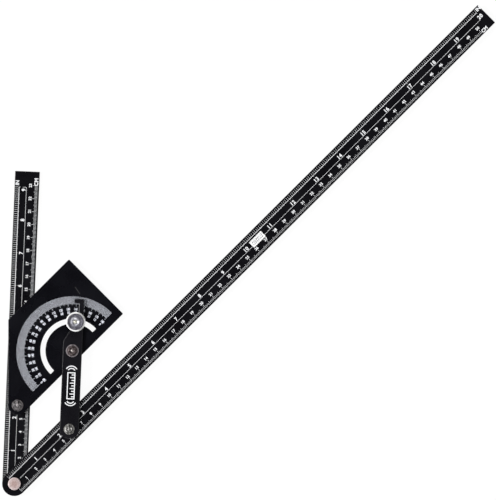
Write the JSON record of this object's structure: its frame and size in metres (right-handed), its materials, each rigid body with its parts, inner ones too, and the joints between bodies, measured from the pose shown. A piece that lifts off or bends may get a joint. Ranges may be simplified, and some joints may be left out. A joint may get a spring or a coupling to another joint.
{
  "type": "folding angle finder rule",
  "caption": "Two graduated flat rules hinged at one end, with a protractor plate, a link bar with a pointer and a thumb nut that locks the angle.",
  "frame": {"origin": "on the main hinge axis, in the plane of the underside", "axes": "+X along the long arm from the main hinge to its square end, +Y towards the side that the short arm opens to, +Z out of the graduated face"},
  "size_m": [0.5225, 0.1797, 0.0131],
  "materials": {
    "arm_plastic": "satin black moulded plastic",
    "plate_plastic": "satin black moulded plastic",
    "rivet_copper": "copper-tinted plated steel",
    "rivet_dark": "darkened plated steel",
    "rivet_nickel": "nickel plate",
    "nut_metal": "satin nickel plate",
    "white_nylon": "white nylon",
    "sticker_paper": "coated white paper",
    "white_print": "white screen-printed ink"
  },
  "bodies": {
    "long_arm": {"long_arm": "arm_plastic", "main_hinge_rivet": "rivet_copper", "main_hinge_washer": "rivet_copper", "link_hinge_rivet": "rivet_nickel", "link_hinge_washer": "rivet_nickel", "label_sticker": "sticker_paper"},
    "short_arm": {"short_arm": "arm_plastic", "plate_hinge_rivet": "rivet_dark", "plate_hinge_washer": "rivet_dark"},
    "protractor_plate": {"protractor_plate": "plate_plastic"},
    "link_bar": {"link_bar": "plate_plastic", "centre_rivet": "rivet_dark", "centre_washer": "rivet_dark", "clamp_screw": "nut_metal"},
    "nut_washer": {"nut_washer": "white_nylon"},
    "thumb_nut": {"thumb_nut": "nut_metal"}
  },
  "joints": [
    {"name": "main_hinge", "type": "hinge", "parent": "long_arm", "child": "short_arm", "pos_m": [0, 0, 0], "axis": [0, 0, 1], "range_deg": [-25.75, 120.25]},
    {"name": "link_hinge", "type": "hinge", "parent": "long_arm", "child": "link_bar", "pos_m": [0.0597, 0, 0], "axis": [0, 0, 1], "range_deg": [-25.75, 120.25]},
    {"name": "plate_hinge", "type": "hinge", "parent": "short_arm", "child": "protractor_plate", "pos_m": [0.04435, 0.041, 0], "axis": [0, 0, 1], "range_deg": [-120.25, 25.75]},
    {"name": "nut_rise", "type": "slide", "parent": "link_bar", "child": "nut_washer", "axis": [0, 0, 1], "range_m": [0, 0.001]},
    {"name": "nut_turn", "type": "hinge", "parent": "nut_washer", "child": "thumb_nut", "pos_m": [0.12159, 0.05503, 0], "axis": [0, 0, 1], "range_deg": [0, 720.1]}
  ],
  "couplings": [
    {"joint": "link_hinge", "follows": "main_hinge", "ratio": 1},
    {"joint": "plate_hinge", "follows": "main_hinge", "ratio": -1},
    {"joint": "nut_turn", "follows": "nut_rise", "rad_per_m": 12566}
  ]
}
